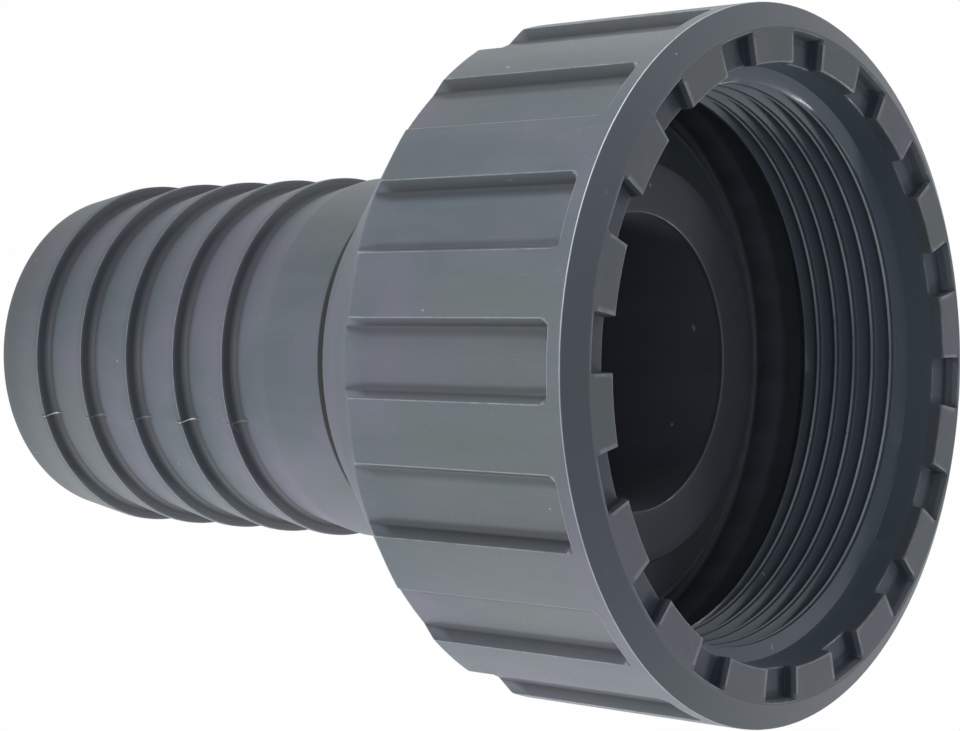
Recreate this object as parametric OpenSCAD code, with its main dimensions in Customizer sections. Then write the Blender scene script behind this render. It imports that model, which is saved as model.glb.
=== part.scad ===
// Barbed hose tail with a captive union nut, moulded in PVC-U.
// The fitting stands on the hose end of the tail, and the mouth of the nut
// faces up. All sizes are in millimetres, and +Z is the axis of the waterway.
// Profiles are drawn as [radius, height] and turned about that axis.

/* [Hose tail] */
// Length of the tail, from its tip to its sealing face
tail_l = 80.4; // [72:0.1:110]
// Bore of the waterway
bore_d = 31.1; // [20:0.1:33]
// Diameter over the crests of the barbs
barb_d = 41.2; // [40:0.1:44]
// Drop from a crest to the foot behind it
barb_drop = 1.5; // [0.6:0.1:2]
// Distance from one crest to the next
barb_pitch = 7.8; // [6:0.1:8.5]
// Number of barbs
barb_count = 5; // [2:1:5]
// Width of the flat land on each crest
crest_land = 0.6; // [0.3:0.1:1.5]
// Length over which the steep side of a barb falls to its foot
barb_fall = 1.1; // [0.4:0.1:2]
// Length of the tip, up to the back of the first crest
tip_l = 8; // [6:0.1:9]
// How far the tip is below the crests, on the radius
tip_drop = 1.3; // [0.5:0.1:2]
// Corner radius on the rim of the tip
tip_round = 0.5; // [0.2:0.1:1]
// Diameter of the plain neck behind the barbs
neck_d = 40.7; // [39.5:0.1:41]
// Length over which the last barb's foot rises to the neck
neck_rise = 6.3; // [4:0.1:8]

/* [Collar of the tail] */
// Height of the collar that the nut pulls on, with its raised face
collar_h = 6.9; // [5.5:0.1:9]
// Diameter of the raised sealing face
face_d = 42.5; // [38:0.1:48]
// Height of the raised sealing face over the collar
face_step = 4; // [1:0.1:4.5]
// Break on the inner edge of the sealing face
face_break = 0.7; // [0.2:0.1:1.2]
// Width of the collar's conical seat, on the radius
seat_w = 4; // [2.5:0.1:5]
// Radius of the fillet between the neck and the collar
collar_fillet = 2.5; // [1:0.1:3]

/* [Union nut] */
// Wall of the nut at its mouth, from the thread's major diameter to the grip lands
nut_wall = 6.193; // [5:0.001:9]
// Draft of the grip lands, as a fall of the radius along the body
nut_draft = 0.25; // [0:0.05:0.6]
// Length of the nut's body, from its back edge to the rim of the mouth
body_l = 25.9; // [22:0.1:36]
// Wall of the conical rear, square to its surface
rear_wall = 6.5; // [4:0.1:7.5]
// Angle between the axis and the conical rear
rear_angle = 40; // [34:1:48]
// Width of the flat rim round the neck hole
hub_land = 0.8; // [0.5:0.1:2]
// Rounding of the nut's back edge
back_round = 0.8; // [0.2:0.1:1.5]

/* [Thread of the nut] */
// Major diameter of the pipe thread, G 2 with 11 turns to the inch
thread_d = 59.614; // [55:0.001:66]
// Depth of the thread on the radius
thread_h = 1.479; // [1:0.001:2]
// Length of the thread, as a plain bore on its minor diameter
thread_l = 11.7; // [8:0.1:14]
// Depth of the smooth counterbore in the mouth, from the face
counterbore_l = 4.5; // [3:0.1:8]
// Height of the lead-in chamfer between the counterbore and the thread
lead_h = 0.5; // [0.3:0.1:1.8]

/* [Mouth of the nut] */
// Height of the bevel round the mouth
bevel_h = 1.4; // [0.5:0.1:2.5]
// Width of the bevel, on the radius
bevel_w = 2.5; // [1:0.1:3]
// Number of lock pockets in the face
pocket_count = 16; // [8:1:20]
// Angle that one pocket takes at the face
pocket_angle = 9.8; // [6:0.1:12]
// Depth of a pocket
pocket_h = 1.3; // [0.5:0.1:2.2]
// Rim of the face left outside a pocket, on the radius
pocket_rim = 0.3; // [0.2:0.05:0.8]
// Lean of a pocket's outer wall, on the radius
pocket_lean = 0.5; // [0:0.1:1.2]
// Break on the inner edge of the face
mouth_break = 0.35; // [0.1:0.05:0.8]

/* [Grips of the nut] */
// Number of grip recesses round the nut
grip_count = 16; // [8:1:20]
// Angle that one recess takes at the surface
grip_angle = 12.3; // [8:0.1:14]
// Depth of a recess
grip_h = 1.3; // [0.5:0.1:2.5]
// Lean of a recess's side walls, on each side
grip_lean = 0.7; // [0:0.1:1.2]
// Plain band left between a recess and the rim of the mouth
grip_band = 1.5; // [1:0.1:5]

/* [Fits] */
// Gap between the collar and the nut's conical seat, square to the cone
seat_gap = 0.3; // [0.2:0.05:0.6]
// Gap between the collar and the crests of the thread, on the radius
collar_gap = 0.43; // [0.3:0.01:1]
// Gap between the barbs and the nut's neck hole, on the radius
neck_gap = 0.4; // [0.3:0.05:1.5]
// Gap between the counterbore and the thread's major diameter, on the radius
mouth_gap = 0.1; // [0:0.05:0.6]

/* [Pose] */
// Turn of the nut on the tail
nut_turn = -1.9; // [-180:0.1:180]
// Turn of the lock pockets from the grip recesses
pocket_turn = -3.1; // [-11:0.1:11]

/* [Hidden] */
$fn = 128;
over = 1;                                    // how far a cutter passes a face

bore_r = bore_d / 2;
crest_r = barb_d / 2;
foot_r = crest_r - barb_drop;
tip_r = crest_r - tip_drop;
neck_r = neck_d / 2;
minor_r = thread_d / 2 - thread_h;
collar_r = minor_r - collar_gap;
hole_r = crest_r + neck_gap;                 // the barbs pass the neck hole
mouth_r = thread_d / 2 + mouth_gap;          // counterbore and relief
nut_r = thread_d / 2 + nut_wall;
back_r = nut_r - nut_draft;
hub_r = hole_r + hub_land;
face_r = nut_r - bevel_w;

// Heights on the tail
function crest_z(i) = tip_l + i * barb_pitch;
neck_z = crest_z(barb_count - 1) + neck_rise;
seat_z = tail_l - collar_h;                  // lower edge of the collar's side

// The cone of the collar's seat, and the nut's cones at a distance from it
slope = tan(rear_angle);
function cone_z(r, gap) = seat_z + (r - collar_r - gap / cos(rear_angle)) / slope;

// Heights on the nut
back_z = cone_z(back_r, seat_gap + rear_wall);
hub_z = cone_z(hub_r, seat_gap + rear_wall);
rim_z = back_z + body_l;
mouth_z = rim_z + bevel_h;
lead_z = mouth_z - counterbore_l;
thread_top = lead_z - lead_h;
thread_end = thread_top - thread_l;

// Points of a corner of radius r at p, between the points a and b
function unit(v) = v / norm(v);
function corner(a, p, b, r, n = 5) =
    let (u = unit(a - p), v = unit(b - p),
         half = acos(max(-1, min(1, u * v))) / 2,
         c = p + unit(u + v) * r / sin(half),
         s = p + u * r / tan(half) - c,
         e = p + v * r / tan(half) - c,
         t = acos(max(-1, min(1, (s * e) / (r * r)))))
    [for (k = [0 : n]) c + (s * sin(t * (1 - k / n)) + e * sin(t * k / n)) / sin(t)];

// One saw-tooth barb: ramp, land and fall to the foot
function barb(i) = [
    [crest_r, crest_z(i) - crest_land],
    [crest_r, crest_z(i)],
    [foot_r + 0.25 * barb_drop, crest_z(i) + 0.6 * barb_fall],
    [foot_r + 0.05 * barb_drop, crest_z(i) + barb_fall],
    [foot_r, crest_z(i) + 1.4 * barb_fall]];

module hose_tail() {
    seat_r = collar_r - seat_w;
    seat_foot = cone_z(seat_r, 0);
    color([0.27, 0.29, 0.32])
    rotate_extrude()
        polygon(concat(
            [[bore_r, 0]],
            corner([bore_r, 0], [tip_r, 0], [crest_r, tip_l], tip_round, 4),
            [for (i = [0 : barb_count - 1]) each barb(i)],
            [[neck_r, neck_z]],
            corner([neck_r, neck_z], [neck_r, seat_foot], [seat_r, seat_foot],
                   min(collar_fillet, (seat_r - neck_r) * 0.9), 6),
            [[seat_r, seat_foot],
             [collar_r, seat_z],
             [collar_r, tail_l - face_step],
             [face_d / 2, tail_l - face_step],
             [face_d / 2, tail_l],
             [bore_r + face_break, tail_l],
             [bore_r, tail_l - face_break]]));
}

// The nut's solid of revolution, before its grips and pockets are cut
module nut_blank() {
    rotate_extrude()
        polygon(concat(
            [[hole_r, hub_z],
             [hub_r, hub_z]],
            corner([hub_r, hub_z], [back_r, back_z], [nut_r, rim_z], back_round, 4),
            [[nut_r, rim_z],
             [face_r, mouth_z],
             [mouth_r + mouth_break, mouth_z],
             [mouth_r, mouth_z - mouth_break],
             [mouth_r, lead_z],
             [minor_r, thread_top],
             [minor_r, thread_end],
             [mouth_r, thread_end - (mouth_r - minor_r)],
             [mouth_r, cone_z(mouth_r, seat_gap)],
             [hole_r, cone_z(hole_r, seat_gap)]]));
}

// A grip recess, open to the rear cone and closed short of the rim
module grip_cut() {
    half = nut_r * sin(grip_angle / 2);
    foot = half - grip_lean;
    floor_x = back_r * cos(grip_angle / 2) - grip_h;
    rise = (half - foot) / grip_h;
    top_x = nut_r + over;
    top = foot + rise * (top_x - floor_x);
    translate([0, 0, hub_z])
        linear_extrude(rim_z - grip_band - hub_z)
            polygon([[floor_x, -foot], [top_x, -top], [top_x, top], [floor_x, foot]]);
}

// A lock pocket, open to the front and to the counterbore
module pocket_cut() {
    wall_r = face_r - pocket_rim;
    rotate([0, 0, -pocket_angle / 2])
        rotate_extrude(angle = pocket_angle)
            polygon([
                [mouth_r - over, mouth_z - pocket_h],
                [wall_r - pocket_lean, mouth_z - pocket_h],
                [wall_r, mouth_z],
                [wall_r, mouth_z + over],
                [mouth_r - over, mouth_z + over]]);
}

module union_nut() {
    color([0.27, 0.29, 0.32])
    rotate([0, 0, nut_turn - 90])
    difference() {
        nut_blank();
        for (k = [0 : grip_count - 1])
            rotate([0, 0, k * 360 / grip_count]) grip_cut();
        for (k = [0 : pocket_count - 1])
            rotate([0, 0, pocket_turn + k * 360 / pocket_count]) pocket_cut();
    }
}

hose_tail();
union_nut();
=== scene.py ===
"""Barbed hose tail with a captive union nut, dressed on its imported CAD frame.

Both mouldings are drawn again as fine surfaces: the tail with its rounded
barbs, and the nut with its grips, lock pockets and turning pipe thread. Sizes
are in metres, +Z is the axis of the waterway, and every piece keeps its place
in its own mesh.
"""

import math

import bmesh
import bpy
import numpy as np
from bpy.props import (
    FloatProperty,
    FloatVectorProperty,
    IntProperty,
    PointerProperty,
)
from mathutils import Matrix, Vector


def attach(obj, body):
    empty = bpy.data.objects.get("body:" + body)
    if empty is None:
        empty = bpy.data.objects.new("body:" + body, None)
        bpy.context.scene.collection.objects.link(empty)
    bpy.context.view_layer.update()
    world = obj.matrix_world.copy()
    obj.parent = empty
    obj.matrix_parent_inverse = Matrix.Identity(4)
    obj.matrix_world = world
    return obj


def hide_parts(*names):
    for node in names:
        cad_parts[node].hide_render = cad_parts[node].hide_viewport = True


bl_info = {
    "name": "Hose tail with union nut",
    "version": (1, 0, 0),
    "blender": (4, 5, 0),
    "location": "View3D > Sidebar > Hose tail",
    "description": "Builds a moulded hose tail, its union nut and a plain stage",
    "category": "Add Mesh",
}

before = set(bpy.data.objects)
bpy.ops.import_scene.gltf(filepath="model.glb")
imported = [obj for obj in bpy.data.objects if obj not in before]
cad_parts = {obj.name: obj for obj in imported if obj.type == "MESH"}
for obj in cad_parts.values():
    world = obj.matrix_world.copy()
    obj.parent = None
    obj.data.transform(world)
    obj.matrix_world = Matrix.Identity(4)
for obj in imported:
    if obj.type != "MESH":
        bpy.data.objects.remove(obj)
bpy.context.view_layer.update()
MM = 0.001
# Mean turn of the edges at a vertex, in radians, that counts as a full turn of the edge
FULL_TURN = 0.09
# Edges that turn by more than this are shaded as sharp
SHARP_EDGE = math.radians(32)
# Flat on a crest of the thread, as a share of the pitch
CREST_FLAT = 0.3
# Width of the band on the thread's crest that takes a painted glint; a row of the thread lies at
# its edge
CREST_GLINT_BAND = 0.28 * MM
# Lean of a lock pocket's two side walls
POCKET_SIDE = 0.12 * MM
# A distance beyond every size of the part
FAR = 1.0

# The camera as it was fitted to the photograph, in pixels
PHOTO_WIDTH, PHOTO_HEIGHT = 960, 731
FOCAL_LENGTH = 2353.9
PRINCIPAL_POINT = (492, 282)
# Width of the camera's sensor in millimetres
SENSOR_WIDTH = 36.0
# Turn and tilt of the part's axis, as the camera sees it
AXIS_TURN, AXIS_TILT = math.radians(50.127), math.radians(-0.362)
# The nut's rim on the part, and where its centre stands for the camera
RIM_RADIUS, RIM_HEIGHT = 0.036, 0.09818
RIM_OFFSET = (0.8048, 0.2280, 6.5081)


# Sizes


def length(name, text, value):
    """A length that the user can change, in metres and never negative."""
    return FloatProperty(
        name=name, description=text, default=value, min=0.0, unit="LENGTH", precision=5
    )


def angle(name, text, degrees):
    """An angle that the user can change, given here in degrees."""
    return FloatProperty(
        name=name, description=text, default=math.radians(degrees), subtype="ANGLE"
    )


def power(name, text, watts):
    """The power of a lamp, which the user can change, in watts."""
    return FloatProperty(name=name, description=text, default=watts, min=0, unit="POWER")


def colour(name, text, value):
    """A colour that the user can change, in linear light."""
    return FloatVectorProperty(
        name=name, description=text, default=value, size=3, subtype="COLOR", min=0, max=1
    )


class TailSizes(bpy.types.PropertyGroup):
    """Sizes of the barbed tail"""

    tail_length: length("Length", "From the tip to the sealing face", 0.0804)
    bore: length("Bore", "Diameter of the waterway", 0.0311)
    barb: length("Barb diameter", "Over the crests of the barbs", 0.0412)
    barb_drop: length("Barb drop", "From a crest to the foot behind it", 0.0015)
    barb_pitch: length("Barb pitch", "From one crest to the next", 0.0078)
    barb_count: IntProperty(name="Barbs", description="Number of barbs", default=5, min=1)
    crest_land: length("Crest land", "Width of the flat on a crest", 0.0006)
    barb_fall: length("Barb fall", "Length of a barb's steep side", 0.0011)
    tip_length: length("Tip", "From the end to the back of the first crest", 0.008)
    tip_drop: length("Tip drop", "How far the tip is below the crests", 0.0013)
    tip_round: length("Tip round", "Corner radius of the tip's rim", 0.0005)
    neck: length("Neck diameter", "Diameter of the plain neck", 0.0407)
    neck_rise: length("Neck rise", "From the last crest to the plain neck", 0.0063)
    collar_height: length("Collar height", "From its seat to the sealing face", 0.0069)
    face: length("Face diameter", "Diameter of the raised sealing face", 0.0425)
    face_step: length("Face step", "Height of the raised sealing face", 0.004)
    face_break: length("Face break", "Break on the face's inner edge", 0.0007)
    seat_width: length("Seat width", "Width of the conical seat, on the radius", 0.004)
    collar_fillet: length("Collar fillet", "Fillet between neck and collar", 0.0025)
    flash: length("Flash", "Height of the parting line", 0.00011)
    flash_turn: angle("Flash turn", "Turn of the parting line from +X", -70)


class NutSizes(bpy.types.PropertyGroup):
    """Sizes of the union nut"""

    wall: length("Wall", "From the thread's major diameter to the lands", 0.006193)
    draft: length("Draft", "Fall of the radius along the body", 0.00025)
    body_length: length("Body length", "From the back edge to the rim", 0.0259)
    rear_wall: length("Rear wall", "Wall of the conical rear", 0.0065)
    rear_angle: angle("Rear angle", "Between the axis and the rear cone", 40)
    hub_land: length("Hub land", "Flat round the neck hole", 0.0008)
    back_round: length("Back round", "Rounding of the back edge", 0.0008)
    thread: length("Thread diameter", "Major diameter of the thread", 0.059614)
    thread_depth: length("Thread depth", "Depth of the thread", 0.001479)
    thread_pitch: length("Thread pitch", "Eleven turns to the inch", 0.002309)
    thread_length: length("Thread length", "Length of full thread", 0.0117)
    thread_turn: angle("Thread turn", "Where the crest meets the counterbore", -99.8)
    counterbore: length("Counterbore", "Depth of the smooth counterbore", 0.0045)
    lead: length("Lead-in", "Height of the lead-in chamfer", 0.0005)
    bevel_height: length("Bevel height", "Height of the mouth's bevel", 0.0014)
    bevel_width: length("Bevel width", "Width of the mouth's bevel", 0.0025)
    pocket_count: IntProperty(
        name="Pockets", description="Number of lock pockets", default=16, min=3
    )
    pocket_angle: angle("Pocket angle", "Angle of one lock pocket", 9.8)
    pocket_depth: length("Pocket depth", "Depth of a lock pocket", 0.0013)
    pocket_rim: length("Pocket rim", "Rim left outside a pocket", 0.0003)
    pocket_lean: length("Pocket lean", "Lean of a pocket's outer wall", 0.0005)
    mouth_break: length("Mouth break", "Break on the face's inner edge", 0.00035)
    grip_count: IntProperty(
        name="Grips", description="Number of grip recesses", default=16, min=3
    )
    grip_angle: angle("Grip angle", "Angle of one grip recess", 12.3)
    grip_depth: length("Grip depth", "Depth of a grip recess", 0.0013)
    grip_lean: length("Grip lean", "Lean of a recess's walls", 0.0007)
    grip_band: length("Grip band", "Band between a recess and the rim", 0.0015)
    seat_gap: length("Seat gap", "Gap at the conical seat", 0.0003)
    collar_gap: length("Collar gap", "Gap from collar to thread", 0.00043)
    neck_gap: length("Neck gap", "Gap from the barbs to the hole", 0.0004)
    mouth_gap: length("Mouth gap", "Gap from thread to counterbore", 0.0001)
    nut_turn: angle("Nut turn", "Turn of the nut on the tail", -1.9)
    pocket_turn: angle("Pocket turn", "Turn of the pockets from the grips", -3.1)
    # Side of the rim where its painted highlight is strongest
    rim_glint_side: angle("Rubbed side", "Where the rim is rubbed most, from +X", -120)


class FinishLook(bpy.types.PropertyGroup):
    """Colours and finish of the plastic"""

    tail_colour: colour("Tail colour", "Slate grey of the tail", (0.119, 0.1305, 0.15))
    nut_colour: colour("Nut colour", "Slate grey of the nut", (0.119, 0.1305, 0.15))
    # Colour of worn edges, scratches and flecks, and of the painted highlights and glints on
    # edges, crests and rim
    wear_and_glint_colour: colour("Worn colour", "Rubbed edges and flash", (0.33, 0.36, 0.39))
    grain_depth: length("Grain depth", "Depth of the moulded grain", 0.00002)


class StageLook(bpy.types.PropertyGroup):
    """Floor, lamps and sky"""

    floor_colour: colour("Floor colour", "Pale floor", (0.6, 0.61, 0.62))
    key_power: power("Key lamp", "Power of the main lamp", 2.1)
    left_power: power("Left lamp", "Power of the narrow lamp on -X", 0.27)
    right_power: power("Right lamp", "Power of the lamp on +X", 4.1)
    front_power: power("Front lamp", "Power of the front lamp", 0.85)
    fill_power: power("Fill lamp", "Power of the lamp into the mouth", 0.32)
    rear_power: power("Rear lamps", "Power of the lamps behind the mouth", 0.8)
    sky_colour: colour("Sky colour", "Colour of the light from all round", (0.88, 0.97, 1.0))
    sky: FloatProperty(
        name="Sky", description="Level of the light from all round", default=0.13, min=0
    )


def heights(tail, nut):
    """Radii and heights that the nut takes from the tail and from its own sizes.

    The nut's cones are parallel to the collar's seat, at the gap and at the
    gap plus the rear wall, both measured square to the cone. Its first and
    last sheet join in the neck hole; the grips end at the front, and the
    row just past their edge is the lip.
    """
    slope = math.tan(nut.rear_angle)
    minor = nut.thread / 2 - nut.thread_depth
    collar = minor - nut.collar_gap
    seat_z = tail.tail_length - tail.collar_height

    def cone(r, gap):
        return seat_z + (r - collar - gap / math.cos(nut.rear_angle)) / slope

    size = {"minor": minor, "collar": collar, "seat_z": seat_z, "cone": cone}
    size["hole"] = tail.barb / 2 + nut.neck_gap
    size["hub"] = size["hole"] + nut.hub_land
    size["mouth"] = nut.thread / 2 + nut.mouth_gap
    size["rim"] = nut.thread / 2 + nut.wall
    size["back"] = size["rim"] - nut.draft
    size["face"] = size["rim"] - nut.bevel_width
    outer = nut.seat_gap + nut.rear_wall
    size["back_z"] = cone(size["back"], outer)
    size["hub_z"] = cone(size["hub"], outer)
    size["rim_z"] = size["back_z"] + nut.body_length
    size["mouth_z"] = size["rim_z"] + nut.bevel_height
    size["lead_z"] = size["mouth_z"] - nut.counterbore
    size["thread_top"] = size["lead_z"] - nut.lead
    size["thread_end"] = size["thread_top"] - nut.thread_length
    size["relief_z"] = size["thread_end"] - (size["mouth"] - minor)
    size["join_z"] = size["hub_z"] + 2 * MM
    size["front"] = size["rim_z"] - nut.grip_band
    size["lip_z"] = size["front"] + 0.5 * nut.grip_lean
    return size


# Surfaces


def rounded(a, p, b, radius, steps):
    """Points of a rounded corner at p between a and b, as [..., step, 2].

    They run on the circle that touches both lines, from the first touch to
    the second: its centre plus the two spokes, weighted by the sines that
    give equal angles between the points.
    """
    u = (a - p) / np.linalg.norm(a - p, axis=-1, keepdims=True)
    v = (b - p) / np.linalg.norm(b - p, axis=-1, keepdims=True)
    half = np.arccos(np.clip((u * v).sum(-1, keepdims=True), -1, 1)) / 2
    out = (u + v) / np.linalg.norm(u + v, axis=-1, keepdims=True)
    centre = p + out * radius / np.sin(half)
    first = p + u * radius / np.tan(half) - centre
    last = p + v * radius / np.tan(half) - centre
    sweep = (np.pi - 2 * half)[..., None, :]
    k = np.linspace(0, 1, steps + 1)[:, None]
    near, far = np.sin(sweep * (1 - k)), np.sin(sweep * k)
    spokes = first[..., None, :] * near + last[..., None, :] * far
    return centre[..., None, :] + spokes / np.sin(sweep)


def outline(keys, columns=1, closed=False):
    """A profile as rows of [radius, height] for each column: [row, column, 2].

    Each key is (radius, height, corner radius, corner steps, rows before it).
    Radius and height may be arrays over the columns. Rows before a key are
    spaced evenly on the straight stretch that leads to its corner.
    """
    spots = [
        np.stack(np.broadcast_arrays(*(np.asarray(v, float) for v in key[:2])), -1)
        + np.zeros((columns, 2))
        for key in keys
    ]
    count = len(keys)
    arcs = []
    for i, key in enumerate(keys):
        inside = closed or 0 < i < count - 1
        if inside and key[2] > 0:
            a, b = spots[i - 1], spots[(i + 1) % count]
            arcs.append(rounded(a, spots[i], b, key[2], key[3]))
        else:
            arcs.append(spots[i][:, None, :])
    rows = []
    for i, key in enumerate(keys):
        if key[4] and (closed or i):
            a, b = arcs[i - 1][:, -1:], arcs[i][:, :1]
            k = (np.arange(key[4]) + 1)[:, None] / (key[4] + 1)
            rows.append(a + (b - a) * k)
        rows.append(arcs[i])
    if closed:
        rows.append(arcs[0][:, :1] if not keys[0][4] else rows[0][:, :1])
    return np.concatenate(rows, 1).swapaxes(0, 1)


def turned(profile, angles):
    """Turns a profile [row, column, 2] about Z: x, y = radius times cos, sin."""
    r, z, turn = np.broadcast_arrays(profile[..., 0], profile[..., 1], angles)
    return np.stack([r * np.cos(turn), r * np.sin(turn), z], -1)


def edge_turn_of(mesh):
    """How sharply the surface turns outwards at each vertex, from -1 to 1.

    For each edge the far end lies below the plane of the near vertex by an
    angle; the mean of those angles over a vertex's edges is its turn, which
    is below 0 where the surface turns inwards.
    """
    count = len(mesh.vertices)
    co, no = np.zeros(count * 3), np.zeros(count * 3)
    ends = np.zeros(len(mesh.edges) * 2, int)
    mesh.vertices.foreach_get("co", co)
    mesh.vertex_normals.foreach_get("vector", no)
    mesh.edges.foreach_get("vertices", ends)
    co, no, ends = co.reshape(-1, 3), no.reshape(-1, 3), ends.reshape(-1, 2)
    way = co[ends[:, 1]] - co[ends[:, 0]]
    way /= np.maximum(np.linalg.norm(way, axis=1, keepdims=True), 1e-12)
    drop = np.concatenate(
        [-(way * no[ends[:, 0]]).sum(1), (way * no[ends[:, 1]]).sum(1)]
    )
    who = np.concatenate([ends[:, 0], ends[:, 1]])
    turn = np.bincount(who, drop, count) / np.maximum(np.bincount(who, None, count), 1)
    return np.clip(turn / FULL_TURN, -1, 1)


def build_piece(name, sheets, marks):
    """One closed mesh from sheets of points [row, column, xyz].

    A quad joins four neighbours of a sheet, rows lead along the profile with
    the solid on their left, and points that coincide are merged. The marks,
    one for each point, and the edge turn become attributes of the mesh.
    """
    faces, start = [], 0
    for sheet in sheets:
        n = np.arange(sheet.shape[0] * sheet.shape[1]).reshape(sheet.shape[:2]) + start
        quad = np.stack([n[:-1, :-1], n[:-1, 1:], n[1:, 1:], n[1:, :-1]], -1)
        faces.append(quad.reshape(-1, 4))
        start += n.size
    points = np.concatenate([sheet.reshape(-1, 3) for sheet in sheets])
    mesh = bpy.data.meshes.new(name)
    mesh.from_pydata(points, [], np.concatenate(faces).tolist())
    layer = mesh.attributes.new("marks", "FLOAT", "POINT")
    layer.data.foreach_set("value", marks.astype(np.float32).ravel())
    clean = bmesh.new()
    clean.from_mesh(mesh)
    bmesh.ops.remove_doubles(clean, verts=clean.verts, dist=1e-6)
    bmesh.ops.dissolve_degenerate(clean, edges=clean.edges, dist=1e-7)
    clean.to_mesh(mesh)
    clean.free()
    mesh.polygons.foreach_set("use_smooth", np.ones(len(mesh.polygons), bool))
    mesh.set_sharp_from_angle(angle=SHARP_EDGE)
    edge_turn = mesh.attributes.new("edge_turn", "FLOAT", "POINT")
    edge_turn.data.foreach_set("value", edge_turn_of(mesh).astype(np.float32))
    piece = bpy.data.objects.new(name, mesh)
    bpy.context.scene.collection.objects.link(piece)
    return piece


def tail_outline(tail, nut):
    """The tail's profile, from the tip's bore edge outwards and back down.

    Each barb is a ramp, a flat land, a steep side and a fillet at its foot;
    the neck, the collar with its conical seat and the raised face follow.
    """
    size = heights(tail, nut)
    bore, crest, neck = tail.bore / 2, tail.barb / 2, tail.neck / 2
    foot, collar, top = crest - tail.barb_drop, size["collar"], tail.tail_length
    seat, step_z = collar - tail.seat_width, top - tail.face_step
    # Corner radii
    soft, fine, land, hollow, bend = (n * MM for n in (0.3, 0.07, 0.5, 0.85, 1.2))
    keys = [(bore, 0, soft, 3, 24), (crest - tail.tip_drop, 0, tail.tip_round, 5, 2)]
    for i in range(tail.barb_count):
        z = tail.tip_length + i * tail.barb_pitch
        keys += [
            (crest, z - tail.crest_land, land, 2, 6),
            (crest, z - 2 * fine, 0, 0, 0),
            (crest, z, fine, 3, 0),
            (crest - 0.12 * tail.barb_drop, z + 0.05 * tail.barb_fall, 0, 0, 0),
            (foot, z + 0.42 * tail.barb_fall, hollow, 7, 2),
        ]
    keys += [
        (neck, z + tail.neck_rise, bend, 3, 6),
        (neck, size["cone"](seat, 0), tail.collar_fillet, 7, 18),
        (seat, size["cone"](seat, 0), soft, 3, 1),
        (collar, size["seat_z"], soft, 3, 3),
        (collar, step_z, soft, 3, 3),
        (tail.face / 2, step_z, soft, 4, 3),
        (tail.face / 2, top, 0.2 * MM, 3, 2),
        (bore + tail.face_break, top, 0, 0, 4),
        (bore, top, tail.face_break * 0.3, 4, 0),
        (bore, top - tail.face_break, 0, 0, 0),
    ]
    return outline(keys, closed=True)


def tail_columns(tail, seams):
    """Angles of the tail's columns, once round; the last repeats the first.

    They are even, apart from close ones on both sides of each parting line.
    An even one that is within the least angle of a close one is left out.
    """
    even, least = np.linspace(-math.pi, math.pi, 241)[:-1], 0.012
    side = np.array([0.07, 0.16, 0.3, 0.6, 1.1])
    across = np.concatenate([-side, [0], side]) * MM / (tail.barb / 2)
    fine = (seams[:, None] + across).ravel()
    fine = (fine + math.pi) % (2 * math.pi) - math.pi
    gap = np.abs(even[:, None] - fine).min(1)
    angles = np.sort(np.concatenate([even[gap > least], fine]))
    return np.append(angles, angles[0] + 2 * math.pi)


def tail_points(tail, nut):
    """The tail's sheet, its profile turned about Z, and its marks.

    The parting line is a ridge on two sides of the outside. It falls away as
    a bell curve of the distance across it, and shows at each barb's steep
    side, as another bell curve along Z, by an amount that varies. It comes
    back as a mark above 0. Below 0 is painted shade on the steep sides behind
    the crests, which fades out with a bell curve of the distance from the crest.
    """
    profile = tail_outline(tail, nut)
    r, z = profile[..., 0], profile[..., 1]
    crest, barbs = tail.barb / 2, np.arange(tail.barb_count)
    past = z[..., None] - tail.tip_length - barbs * tail.barb_pitch
    outside = (r > crest - 1.15 * tail.barb_drop) & (z < tail.tail_length * 0.8)

    seams = np.array([tail.flash_turn, tail.flash_turn + math.pi])
    angles = tail_columns(tail, seams)
    across = np.angle(np.exp(1j * (angles[:, None] - seams))) * crest
    width, reach, least = 0.13 * MM, 0.95 * MM, 0.06
    bell = np.exp(-((across / width) ** 2)).sum(1)
    along = np.exp(-(((past - 0.4 * tail.barb_fall) / reach) ** 4))
    show = (along * (0.72 + 0.28 * np.sin(2.3 * barbs + 1))).sum(-1)
    ridge = bell * np.maximum(show, least) * outside

    # Painted shade on the steep side behind each crest, stored as a mark below 0
    fade = 1.6 * tail.barb_fall
    painted_barb_shade = np.where(past > 0, np.exp(-((past / fade) ** 2)), 0).sum(-1)
    painted_barb_shade = painted_barb_shade * np.clip((crest - r) * 4 / tail.barb_drop, 0, 1) * outside
    marks = ridge**2 - 0.65 * painted_barb_shade * (ridge < 0.3)
    return turned(np.stack([r + tail.flash * ridge, z + 0 * ridge], -1), angles), marks


def wall_table(lean, depth, top, foot, steps):
    """Share of a recess's depth against the distance in from its edge.

    The profile is the land, a rounded edge of radius top, a wall that leans,
    a fillet of radius foot and the floor. Distances are shares of the lean.
    """
    land, edge = np.array([-3 * lean, 0.0]), np.array([0.0, 0.0])
    low, floor = np.array([lean, depth]), np.array([4 * lean + foot * 3, depth])
    table = np.concatenate(
        [rounded(land, edge, low, top, steps), rounded(edge, low, floor, foot, steps)]
    )
    return table / (lean, depth)


def sunk(table, across, along):
    """Share of the depth at a place that is so far in from two walls.

    The two distances, as shares of their walls' lean, join into one by the
    quarter circle of radius reach in the corner, and the table gives the rest.
    """
    reach = 1.5
    corner = np.hypot(np.maximum(reach - across, 0), np.maximum(reach - along, 0))
    inside = np.where(corner > 0, reach - corner, reach)
    return np.interp(inside, table[:, 0], table[:, 1])


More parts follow.
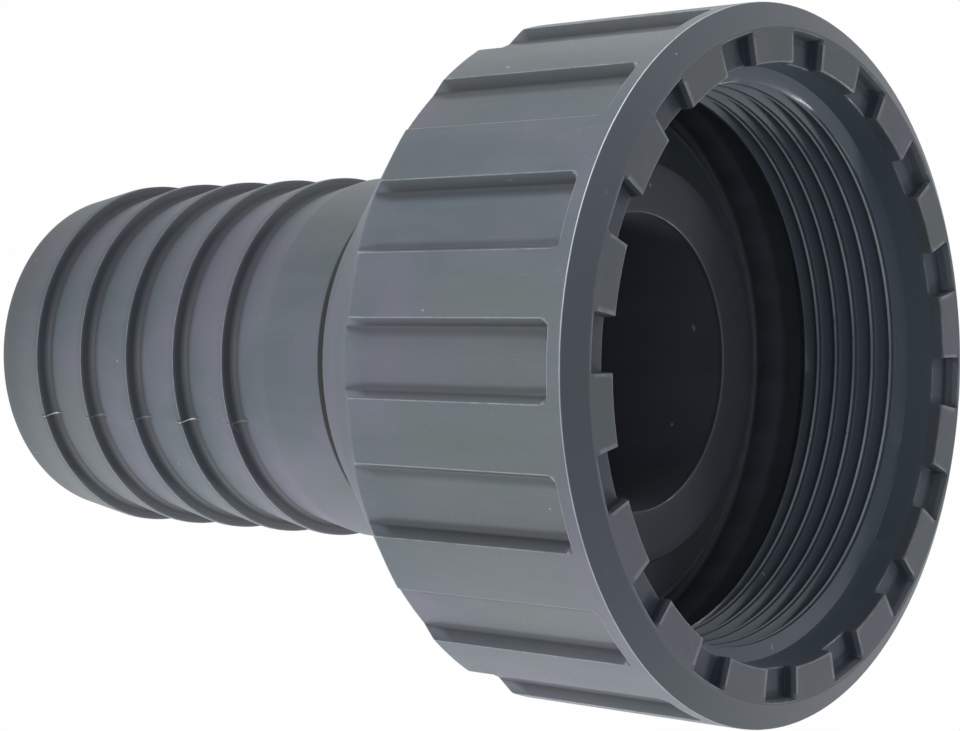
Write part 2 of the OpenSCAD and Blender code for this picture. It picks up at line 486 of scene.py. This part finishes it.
def nut_columns(nut, size, grip, pocket):
    """Angles of the nut's columns, once round; the last repeats the first.

    They lie on the walls of the grips and of the pockets, and are filled in
    evenly between those. Columns that almost coincide become one.
    """
    turn = 2 * math.pi / nut.grip_count
    least, most = math.radians(0.012), math.radians(2.3)
    rim, ring = size["rim"], (size["mouth"] + size["face"]) / 2
    half = rim * math.sin(nut.grip_angle / 2)
    reach = grip[:, 0] * nut.grip_lean
    side = np.arcsin((half - np.append(reach, reach[0] - 0.15 * MM)) / rim)
    lock = nut.pocket_angle / 2 - pocket[:, 0] * POCKET_SIDE / ring
    own = np.concatenate([-side, side, nut.pocket_turn - lock, nut.pocket_turn + lock])
    own = np.sort(own % turn)
    own = own[np.append(True, np.diff(own) > least)]
    gaps = np.diff(np.append(own, own[0] + turn))
    fill = np.ceil(gaps / most).astype(int)
    part = np.arange(fill.sum()) - np.repeat(np.cumsum(fill) - fill, fill)
    own = np.repeat(own, fill) + part * np.repeat(gaps / fill, fill)
    every = (own + turn * np.arange(nut.grip_count)[:, None]).ravel()
    return np.append(every, every[0] + 2 * math.pi)


def wrapped(places, turn):
    """How far each place is past the nearest of those that repeat every turn."""
    return (places + turn / 2) % turn - turn / 2


def thread_rows(nut, size):
    """Rows of the thread in one pitch: at which radius, and how far down.

    The flanks have the pipe thread's 55 degrees. The crest is a flat between
    two fine edges, each with a row close by on either side, and the root is
    a flat on the major diameter.
    """
    pitch, depth, crest = nut.thread_pitch, nut.thread_depth, size["minor"]
    deep, flat, edge = crest + depth, CREST_FLAT * pitch, 0.05 * MM
    slope, near = math.tan(math.radians(27.5)), 2.4 * edge
    low, high = flat / 2, pitch - flat / 2
    keys = [
        (crest, 0, 0, 0, 0),
        (crest, low - CREST_GLINT_BAND, 0, 0, 0),
        (crest, low, edge, 2, 0),
        (crest + near, low + near * slope, 0, 0, 0),
        (deep, low + depth * slope, 0, 0, 0),
        (deep, high - depth * slope, 0, 0, 0),
        (crest + near, high - near * slope, 0, 0, 0),
        (crest, high, edge, 2, 0),
        (crest, high + near, 0, 0, 0),
        (crest, pitch, 0, 0, 0),
    ]
    return outline(keys)[:-1, 0]


def thread_sheet(nut, size, angles):
    """The thread's sheet, its rows winding down with the helix, and its marks.

    Radius is the greatest of the thread's own, of the lead-in cone above and
    of the run-out cone below. A row that leaves the thread stays on its end.
    The crest's edge on the side of the seat is marked for a painted glint.
    """
    table, pitch = thread_rows(nut, size), nut.thread_pitch
    top, low, mouth = size["lead_z"], size["relief_z"], size["mouth"]
    turns = math.ceil((top - low) / pitch) + 2
    down = (table[:, 1] + pitch * np.arange(turns)[:, None]).ravel()
    down = np.concatenate([[-pitch], down, [down[-1] + pitch]])
    own = np.concatenate([[mouth], np.tile(table[:, 0], turns), [mouth]])[:, None]
    first = (angles[0] - nut.thread_turn) % (2 * math.pi)
    wind = pitch * (angles - angles[0] + first) / (2 * math.pi)
    z = np.clip(top - down[:, None] + wind, low, top)
    lead = (mouth - size["minor"]) / nut.lead
    ends = np.maximum(mouth - (top - z) * lead, mouth - (z - low))
    # The painted glint band along the crest's edge on the side of the seat
    past = wrapped(down, pitch) - CREST_FLAT / 2 * pitch
    band = (past > -CREST_GLINT_BAND - 0.01 * MM) & (past < 0.04 * MM)
    worn_and_glinting = band[:, None] & (own >= ends)
    return turned(np.stack([np.maximum(own, ends), z], -1), angles), worn_and_glinting.astype(float)


def body(nut, size, z):
    """Radius of the nut's lands: straight, with a little draft."""
    return size["rim"] - nut.draft * (size["rim_z"] - z) / nut.body_length


def nut_outside(nut, size, grip, local):
    """Profiles of the rear cone and of the grips' front walls, with marks.

    The recesses are sunk by their wall table, and a little more towards the
    middle. A mark below 0 paints shade on a recess's walls: it fades in over
    the first 10 percent of the depth, and out over the last 8.
    """
    rim, front, lean = size["rim"], size["front"], nut.grip_lean
    half = rim * math.sin(nut.grip_angle / 2)
    offset = wrapped(local, 2 * math.pi / nut.grip_count)
    across = (half - rim * np.abs(np.sin(offset))) / lean
    hollow = 0.11 * nut.grip_depth * np.clip(1 - (offset / (nut.grip_angle / 2)) ** 2, 0, 1)

    def grips(z):
        """Radius of the outside with the grip recesses sunk into it"""
        share = sunk(grip, across, (front - z) / lean)
        return body(nut, size, z) - (nut.grip_depth + hollow) * share

    def painted_wall_shade(profile):
        """Mark on the wall of a recess, fading at its edge and its foot"""
        # Painted shade on the recess walls, as a mark below 0
        r, z = profile[..., 0], profile[..., 1]
        share = (body(nut, size, z) - r) / nut.grip_depth
        dark = np.clip(share / 0.1, 0, 1) * np.clip((1 - share) / 0.08, 0, 1)
        return -0.85 * dark * (z > size["back_z"])

    past_foot = 1.8
    rows = np.concatenate([[past_foot], grip[::-1, 0]])
    z = np.append(front - rows * lean, size["lip_z"])[:, None] + np.zeros(len(local))
    wall = np.stack([grips(z), z], -1)
    back = grips(np.full(len(local), size["back_z"]))
    back_z = size["hub_z"] + (back - size["hub"]) / math.tan(nut.rear_angle)
    keys = [
        (size["hole"], size["join_z"], 0, 0, 0),
        (size["hole"], size["hub_z"], 0.25 * MM, 3, 0),
        (size["hub"], size["hub_z"], 0.25 * MM, 3, 0),
        (back, back_z, nut.back_round, 5, 5),
        (wall[0, :, 0], wall[0, :, 1], 0, 0, 9),
    ]
    rear = outline(keys, len(local))
    return (rear, wall), (painted_wall_shade(rear), painted_wall_shade(wall))


def nut_mouth(nut, size, pocket, local):
    """Profiles of the rim and bevel, of the lock ring and of the counterbore.

    The lock ring is the face with its pockets. A pocket's outer wall and its
    sides are sunk by the wall table, and it opens inwards to the counterbore.
    """
    rim, face, mouth, mouth_z = (size[key] for key in ("rim", "face", "mouth", "mouth_z"))
    wall = face - nut.pocket_rim - pocket[:, 0] * nut.pocket_lean

    def on_bevel(share):
        """Radius and height at this share of the bevel, from the rim inwards"""
        return rim - nut.bevel_width * share, size["rim_z"] + nut.bevel_height * share

    keys = [
        (body(nut, size, size["lip_z"]), size["lip_z"], 0, 0, 0),
        (rim, size["rim_z"] - 0.4 * MM, 0, 0, 0),
        (rim, size["rim_z"], 0.16 * MM, 4, 0),
        (*on_bevel(0.12), 0, 0, 0),
        (*on_bevel(0.92), 0, 0, 0),
        (face, mouth_z, 0.1 * MM, 3, 0),
        (wall[0], mouth_z, 0, 0, 0),
    ]
    bevel = outline(keys, len(local))

    around = np.abs(wrapped(local - nut.pocket_turn, 2 * math.pi / nut.pocket_count))
    inner = mouth + 1.2 * nut.mouth_break
    r = np.append(wall, np.linspace(wall[-1], inner, 5)[1:])[:, None]
    side = r * (nut.pocket_angle / 2 - around) / POCKET_SIDE
    share = sunk(pocket, side, (face - nut.pocket_rim - r) / nut.pocket_lean)
    ring = np.stack([r + 0 * share, mouth_z - nut.pocket_depth * share], -1)

    floor = ring[-1, :, 1]
    keys = [
        (inner, floor, 0, 0, 0),
        (mouth, floor, nut.mouth_break * 0.6, 4, 0),
        (mouth, floor - 1.6 * nut.mouth_break, 0, 0, 0),
        (mouth, size["lead_z"], 0, 0, 1),
    ]
    return bevel, ring, outline(keys, len(local))


def nut_points(tail, nut):
    """The nut's sheets, once round its profile, and their marks.

    They are the rear cone, the grips, the rim and bevel, the lock ring, the
    counterbore, the relief with the seat and the neck hole, and the thread.
    The rim is marked for a painted highlight, strongest on its glint side,
    by the cube of the cosine of the angle from that side.
    """
    size = heights(tail, nut)
    grip = wall_table(nut.grip_lean, nut.grip_depth, 0.15 * MM, 0.35 * MM, 3)
    pocket = wall_table(nut.pocket_lean, nut.pocket_depth, 0.09 * MM, 0.2 * MM, 2)
    local = nut_columns(nut, size, grip, pocket)
    outside, painted_wall_shade = nut_outside(nut, size, grip, local)
    hole, mouth, cone = size["hole"], size["mouth"], size["cone"]
    keys = [
        (mouth, size["relief_z"], 0, 0, 0),
        (mouth, cone(mouth, nut.seat_gap), 0.8 * MM, 4, 1),
        (hole, cone(hole, nut.seat_gap), 0.25 * MM, 3, 2),
        (hole, size["join_z"], 0, 0, 0),
    ]
    profiles = (*outside, *nut_mouth(nut, size, pocket, local), outline(keys, len(local)))

    angles = local + nut.nut_turn - math.pi / 2
    sheets = [turned(profile, angles) for profile in profiles]
    thread, worn_and_glinting = thread_sheet(nut, size, angles)
    marks = [*painted_wall_shade, *(np.zeros(sheet.shape[:2]) for sheet in sheets[2:]), worn_and_glinting]
    # Painted highlight along the rim, strongest towards rim_glint_side
    bevel_marks, rim_rows = marks[2], slice(3, 6)
    bevel_marks[rim_rows] = 0.56 + 0.18 * np.cos(angles - nut.rim_glint_side).clip(0) ** 3
    return [*sheets, thread], np.concatenate([mark.ravel() for mark in marks])


# Finishes


class Num:
    """A number socket in Python expressions; each operator adds a Math node."""

    def __init__(self, tree, socket):
        self.tree, self.socket = tree, socket

    def math(self, operation, *values):
        return self.tree.node(
            "ShaderNodeMath", {"operation": operation}, dict(enumerate(values))
        ).num(0)

    def __add__(self, other):
        return self.math("ADD", self, other)

    def __sub__(self, other):
        return self.math("SUBTRACT", self, other)

    def __rsub__(self, other):
        return self.math("SUBTRACT", other, self)

    def __mul__(self, other):
        return self.math("MULTIPLY", self, other)

    def __abs__(self):
        return self.math("ABSOLUTE", self)

    __radd__, __rmul__ = __add__, __mul__

    def step(self, low, high, start=0.0, end=1.0):
        """Smooth step from start at low to end at high"""
        return self.tree.node(
            "ShaderNodeMapRange",
            {"interpolation_type": "SMOOTHSTEP"},
            {"Value": self, 1: low, 2: high, 3: start, 4: end},
        ).num(0)


class Made:
    """A node that was added, with its outputs as numbers or as sockets"""

    def __init__(self, tree, node):
        self.tree, self.made = tree, node

    def num(self, output):
        return Num(self.tree, self.made.outputs[output])

    def out(self, output):
        return self.made.outputs[output]


class Finish:
    """A node tree, to which one method adds every kind of node"""

    def __init__(self, owner):
        owner.use_nodes = True
        self.tree = owner.node_tree
        self.tree.nodes.clear()

    def node(self, kind, settings, sockets):
        """Adds a node, sets its settings, then fills or links its sockets"""
        made = self.tree.nodes.new(kind)
        for key, value in settings.items():
            setattr(made, key, value)
        for key, value in sockets.items():
            value = value.socket if isinstance(value, Num) else value
            if isinstance(value, bpy.types.NodeSocket):
                self.tree.links.new(value, made.inputs[key])
            elif made.inputs[key].type == "RGBA":
                made.inputs[key].default_value = (*value, 1.0)
            else:
                made.inputs[key].default_value = value
        return Made(self, made)

    def noise(self, where, scale, detail, rough):
        """Cloudy noise of about this many features to the metre"""
        return self.node(
            "ShaderNodeTexNoise",
            {},
            {"Vector": where, "Scale": scale, "Detail": detail, "Roughness": rough},
        ).num("Fac")

    def mix(self, share, a, b):
        """Colour a where the share is 0, and b where it is 1"""
        return self.node(
            "ShaderNodeMix", {"data_type": "RGBA"}, {0: share, 6: a, 7: b}
        ).out(2)

    def stretched(self, where, along):
        """The same place, with this share of its height"""
        scale = (1.0, 1.0, along)
        return self.node("ShaderNodeMapping", {}, {"Vector": where, "Scale": scale}).out(0)

    def shown(self):
        """1 for the rays that show a thing itself, and 0 for those that light it"""
        path = self.node("ShaderNodeLightPath", {}, {})
        camera, glossy, through = (
            path.num(f"Is {kind} Ray") for kind in ("Camera", "Glossy", "Transmission")
        )
        return camera + glossy + through


def shade(tone, factor):
    """A colour made lighter or darker"""
    return tuple(min(1.0, c * factor) for c in tone)


def tinted(tone, *factors):
    """A colour with its red, green and blue changed one by one"""
    return tuple(min(1.0, c * factor) for c, factor in zip(tone, factors))


def pvc(name, tone, finish, along, zones):
    """Satin moulded PVC-U, with clouds, flow lines, grain and rubbed edges.

    Slow clouds shift the grey, and so do flow lines, which are drawn out along
    Z because only the share "along" of the height counts for them. The edge_turn
    attribute, broken up by noise, lightens the outward edges, partly as wear
    and partly as a painted highlight, and darkens the inward ones as painted
    shade in the corners; the light edges gloss a little. Fine grain and a slow
    unevenness make the bump. The marks attribute adds light lines above 0: the
    parting line's flash, and painted glints on the thread's crests and the rim.
    Below 0 it adds painted shade on the recess walls and the barbs' steep
    sides. Each zone is (least radius, greatest radius, lowest, highest, soft
    edge, tint): there the grey is tinted with painted light and shade.
    """
    tone, wear_and_glint_tone = tuple(tone), tuple(finish.wear_and_glint_colour)
    material = bpy.data.materials.new(name)
    look = Finish(material)
    place = look.node("ShaderNodeTexCoord", {}, {}).out("Object")
    edge = look.node("ShaderNodeAttribute", {"attribute_name": "edge_turn"}, {}).num("Fac")
    marks = look.node("ShaderNodeAttribute", {"attribute_name": "marks"}, {}).num("Fac")
    clouds = look.noise(place, 55, 3, 0.55)
    flow = look.noise(look.stretched(place, along), 260, 3, 0.6)
    grit = look.noise(place, 3200, 2, 0.6)
    peel = look.noise(place, 420, 2, 0.5)
    patchy = look.noise(place, 700, 4, 0.7)
    hair = abs(look.noise(look.stretched(place, 0.35), 90, 1, 0.4) - 0.5)
    scratch = hair.step(0.0, 0.0035, 1.0, 0.0) * patchy.step(0.56, 0.66)

    drift = look.noise(place, 38, 2, 0.5)
    cool, violet = tinted(tone, 0.85, 0.94, 0.93), tinted(tone, 1.13, 1.05, 1.16)
    base = look.mix(clouds.step(0.38, 0.62), cool, violet)
    base = look.mix(drift.step(0.48, 0.62) * 0.7, base, tinted(tone, 0.98, 1.05, 0.88))
    base = look.mix(flow.step(0.42, 0.7) * 0.4, base, shade(tone, 1.2))
    base = look.mix(grit.step(0.5, 0.75) * 0.25, base, shade(tone, 0.72))
    # Outward edges made lighter: partly wear, partly a painted highlight
    worn_and_glinting = edge.step(0.45, 0.9) * (patchy.step(0.3, 0.62) * 0.42 + 0.25)
    base = look.mix(worn_and_glinting, base, wear_and_glint_tone)
    # Painted shade in inward corners and creases
    base = look.mix(edge.step(-0.04, -0.4) * 0.6, base, shade(tone, 0.3))
    # Painted shade on the recess walls and the barbs' steep sides, from marks below 0
    base = look.mix(marks.step(-0.15, -1.0) * 0.9, base, shade(tone, 0.25))
    parts = look.node("ShaderNodeSeparateXYZ", {}, {"Vector": place})
    x, y, z = (parts.num(axis) for axis in "XYZ")
    square = x * x + y * y
    radius = square.math("SQRT", square)
    # Zones of painted light and painted shade
    for least, most, low, high, soft, tint in zones:
        here = z.step(low - soft, low) * z.step(high, high + soft, 1.0, 0.0)
        here = here * radius.step(least - soft, least) * radius.step(most, most + soft, 1.0, 0.0)
        base = look.mix(here, base, tinted(tone, *tint))
    # Painted glints and the parting line's flash, from marks above 0, weaker near x = 0 and
    # stronger to both sides
    sides = abs(x).step(0, 12 * MM, 0.4, 1.0)
    flash_and_glint = marks.step(0.45, 0.95) * patchy.step(0.2, 0.42) * sides
    base = look.mix(flash_and_glint, base, shade(wear_and_glint_tone, 2.9))
    base = look.mix(scratch * 0.3, base, shade(wear_and_glint_tone, 0.8))
    fleck = look.noise(place, 620, 1, 0.4).step(0.795, 0.82) * drift.step(0.44, 0.5)
    base = look.mix(fleck * 0.8, base, shade(wear_and_glint_tone, 1.4))

    rough = 0.4 + clouds * 0.08 + grit * 0.1 - worn_and_glinting * 0.18 - flash_and_glint * 0.2
    bump = look.node(
        "ShaderNodeBump",
        {},
        {
            "Height": grit + peel * 2.2 + flow * 0.8,
            "Strength": 0.5,
            "Distance": finish.grain_depth,
        },
    ).out(0)
    surface = look.node(
        "ShaderNodeBsdfPrincipled",
        {},
        {
            "Base Color": base,
            "Roughness": rough,
            "Normal": bump,
            "Specular IOR Level": 0.3,
            "Coat Weight": worn_and_glinting * 0.3 + flash_and_glint,
            "Coat Roughness": 0.14,
        },
    ).out(0)
    look.node("ShaderNodeOutputMaterial", {}, {"Surface": surface})
    return material


def tail_zones(tail, size):
    """The tail's zones for pvc, in the order of its docstring."""
    bore, hub_z, top = tail.bore / 2, size["hub_z"], tail.tail_length
    black = (0.08, 0.08, 0.08)
    return (
        # The deep shade in the gap where the neck goes into the nut
        (tail.neck / 2 - MM, size["hub"], hub_z - 2 * MM, hub_z + 3 * MM, 0.25 * MM, black),
        # Painted shade on the tip, fading over the first ramp
        (bore + 0.5 * MM, FAR, -MM, MM, 6 * MM, (0.72, 0.75, 0.74)),
        # Painted shade on the sealing face
        (bore, FAR, top - 0.4 * MM, FAR, 0.3 * MM, (0.7, 0.72, 0.72)),
    )


def nut_zones(size):
    """The nut's zones for pvc, in the order of its docstring."""
    minor, mouth, face = size["minor"], size["mouth"] + 0.1 * MM, size["face"]
    end, floor_z = size["thread_end"], size["mouth_z"] - 1.6 * MM
    pocket_z = size["mouth_z"] - 0.7 * MM
    return (
        # Painted shade on the bevel
        (face + 0.1 * MM, FAR, size["rim_z"] + 0.1 * MM, FAR, 0.1 * MM, (0.7, 0.75, 0.78)),
        # Painted shade, bluish, on the floors of the lock pockets
        (mouth + 0.1 * MM, face - 0.2 * MM, floor_z, pocket_z, 0.2 * MM, (0.42, 0.48, 0.56)),
        # Painted light, bluish, on the inside, from the counterbore to the end of the thread
        (minor - 0.2 * MM, mouth, end, floor_z, 0.2 * MM, (1.02, 1.17, 1.3)),
        # Painted light in the roots of the thread
        (minor + 0.9 * MM, mouth, end, size["thread_top"], 0.7 * MM, (1.2, 1.28, 1.36)),
    )


# Operators


class MESH_OT_hose_tail(bpy.types.Operator):
    """Builds the barbed tail with its collar and sealing face"""

    bl_idname = "mesh.hose_tail"
    bl_label = "Barbed tail"

    def execute(self, context):
        tail, nut = context.scene.hose_tail_sizes, context.scene.union_nut_sizes
        look, zones = context.scene.fitting_finish, tail_zones(tail, heights(tail, nut))
        sheet, marks = tail_points(tail, nut)
        piece = build_piece("barbed_tail", [sheet], marks)
        piece.data.materials.append(pvc("tail_pvc", look.tail_colour, look, 0.12, zones))
        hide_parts("hose_tail")
        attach(piece, "tail")
        return {"FINISHED"}


class MESH_OT_union_nut(bpy.types.Operator):
    """Builds the union nut with its grips, lock pockets and thread"""

    bl_idname = "mesh.union_nut"
    bl_label = "Union nut"

    def execute(self, context):
        tail, nut = context.scene.hose_tail_sizes, context.scene.union_nut_sizes
        look, zones = context.scene.fitting_finish, nut_zones(heights(tail, nut))
        piece = build_piece("threaded_nut", *nut_points(tail, nut))
        piece.data.materials.append(pvc("nut_pvc", look.nut_colour, look, 0.2, zones))
        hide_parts("union_nut")
        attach(piece, "nut")
        return {"FINISHED"}


def camera_place():
    """Camera matrix from the fit of the photograph's circles.

    The part's axis runs to the right of the picture, turned away by the turn
    and tipped by the tilt. The offset is where the nut's rim stands in the
    camera's own axes: right, down and ahead, in shares of the rim's radius.
    The part's -X is the side that is up in the picture, and its -Y the side
    that is near.
    """
    flat = math.cos(AXIS_TILT)
    axis = Vector(
        (flat * math.sin(AXIS_TURN), math.sin(AXIS_TILT), -flat * math.cos(AXIS_TURN))
    )
    up = Vector((0, -1, 0))
    up = (up - axis * up.dot(axis)).normalized()
    near = axis.cross(up)
    near = -near if near.z > 0 else near
    back = Matrix((-up, -near, axis))
    place = Vector((0, 0, RIM_HEIGHT)) - back @ (Vector(RIM_OFFSET) * RIM_RADIUS)
    axes = Matrix([back @ Vector(way) for way in ((1, 0, 0), (0, -1, 0), (0, 0, -1))])
    return Matrix.Translation(place) @ axes.transposed().to_4x4()


def add_camera(scene):
    """The camera of the photograph"""
    data = bpy.data.cameras.new("camera")
    data.sensor_fit, data.sensor_width = "HORIZONTAL", SENSOR_WIDTH
    data.lens = FOCAL_LENGTH / PHOTO_WIDTH * SENSOR_WIDTH
    data.shift_x = (PHOTO_WIDTH / 2 - PRINCIPAL_POINT[0]) / PHOTO_WIDTH
    data.shift_y = (PRINCIPAL_POINT[1] - PHOTO_HEIGHT / 2) / PHOTO_WIDTH
    data.clip_start = 0.01
    camera = bpy.data.objects.new("camera", data)
    scene.collection.objects.link(camera)
    camera.matrix_world = camera_place()
    scene.camera = camera


def add_floor(scene, tone):
    """A pale floor just below the tip, shown as white as the photograph's ground"""
    span, level = np.array([-2.0, 2.0]), -0.3 * MM
    grid = np.stack(np.meshgrid(span, span) + [np.full((2, 2), level)], -1)
    mesh = bpy.data.meshes.new("floor")
    mesh.from_pydata(grid.reshape(-1, 3), [], [(0, 1, 3, 2)])
    floor = bpy.data.objects.new("floor", mesh)
    scene.collection.objects.link(floor)
    floor.visible_shadow = False
    material = bpy.data.materials.new("floor_paper")
    paper = Finish(material)
    matt = paper.node("ShaderNodeBsdfDiffuse", {}, {"Color": tone}).out(0)
    white = paper.node("ShaderNodeEmission", {}, {"Color": (1, 1, 1), "Strength": 1.0}).out(0)
    share = paper.shown() * 0.99
    mixed = paper.node("ShaderNodeMixShader", {}, {0: share, 1: matt, 2: white}).out(0)
    paper.node("ShaderNodeOutputMaterial", {}, {"Surface": mixed})
    mesh.materials.append(material)


def add_sky(scene, tone, level):
    """Even light from all round, which shows itself as white"""
    world = bpy.data.worlds.new("sky")
    scene.world = world
    sky = Finish(world)
    seen = sky.shown()
    strength = seen.step(0.0, 1.0, level, 1.0)
    tint = sky.mix(seen, tone, (1, 1, 1))
    light = sky.node("ShaderNodeBackground", {}, {"Color": tint, "Strength": strength}).out(0)
    sky.node("ShaderNodeOutputWorld", {}, {"Surface": light})


def lamp(name, place, aim, size, watts):
    """A soft rectangular lamp that faces a point"""
    data = bpy.data.lights.new(name, "AREA")
    data.shape, data.size, data.size_y, data.energy = "RECTANGLE", *size, watts
    made = bpy.data.objects.new(name, data)
    bpy.context.scene.collection.objects.link(made)
    made.visible_camera = False
    made.location = place
    made.rotation_euler = (Vector(aim) - Vector(place)).to_track_quat("-Z", "Y").to_euler()
    return made


class SCENE_OT_fitting_stage(bpy.types.Operator):
    """Sets the pale floor, the soft lamps, the white sky and the camera"""

    bl_idname = "scene.fitting_stage"
    bl_label = "Stage"

    def execute(self, context):
        scene, look = context.scene, context.scene.fitting_stage
        scene.view_settings.view_transform = "Standard"
        add_camera(scene)
        add_floor(scene, tuple(look.floor_colour))
        add_sky(scene, tuple(look.sky_colour), look.sky)

        aim, mouth = (0, 0, 0.06), (0, 0, 0.09)
        left = lamp("lamp_left", (-0.56, -0.16, 0), (0, 0, 0.14), (0.5, 0.1), look.left_power)
        left.data.spread = math.radians(30)
        lamp("lamp_right", (0.56, -0.16, -0.08), aim, (0.8, 0.25), look.right_power)
        lamp("lamp_key", (-0.05, -0.8, -0.05), (0, 0, 0.02), (0.4, 0.2), look.key_power)
        lamp("lamp_front", (0, -0.8, 0.17), aim, (0.5, 0.2), look.front_power)
        fill = lamp("lamp_fill", (0, -0.46, 0.47), (0, 0, 0.08), (0.3, 0.3), look.fill_power)
        fill.data.color = look.sky_colour
        for side, share in ((-1, 0.7), (1, 1.0)):
            place, watts = (side * 0.3, 0.37, 0.44), look.rear_power * share
            lamp("lamp_rear", place, mouth, (0.08, 0.08), watts)
        return {"FINISHED"}


class VIEW3D_PT_hose_tail(bpy.types.Panel):
    """Lists the builders of the hose tail"""

    bl_idname = "VIEW3D_PT_hose_tail"
    bl_label = "Hose tail"
    bl_space_type = "VIEW_3D"
    bl_region_type = "UI"
    bl_category = "Hose tail"

    def draw(self, context):
        for kind in OPERATORS:
            self.layout.operator(kind.bl_idname)
        for name in GROUPS:
            box = self.layout.box()
            group = getattr(context.scene, name)
            box.label(text=name.replace("_", " "))
            for key in type(group).__annotations__:
                box.prop(group, key)


GROUPS = {
    "hose_tail_sizes": TailSizes,
    "union_nut_sizes": NutSizes,
    "fitting_finish": FinishLook,
    "fitting_stage": StageLook,
}
OPERATORS = (SCENE_OT_fitting_stage, MESH_OT_hose_tail, MESH_OT_union_nut)


def register():
    """Registers the classes and hangs the settings on the scene"""
    for kind in (*GROUPS.values(), *OPERATORS, VIEW3D_PT_hose_tail):
        bpy.utils.register_class(kind)
    for name, group in GROUPS.items():
        setattr(bpy.types.Scene, name, PointerProperty(type=group))


def unregister():
    """Takes the settings and the classes away again"""
    for name in GROUPS:
        delattr(bpy.types.Scene, name)
    for kind in reversed((*GROUPS.values(), *OPERATORS, VIEW3D_PT_hose_tail)):
        bpy.utils.unregister_class(kind)


def main():
    """Builds the stage and both pieces"""
    register()
    bpy.ops.scene.fitting_stage()
    bpy.ops.mesh.hose_tail()
    bpy.ops.mesh.union_nut()
    bpy.context.view_layer.update()


if __name__ == "__main__":
    main()
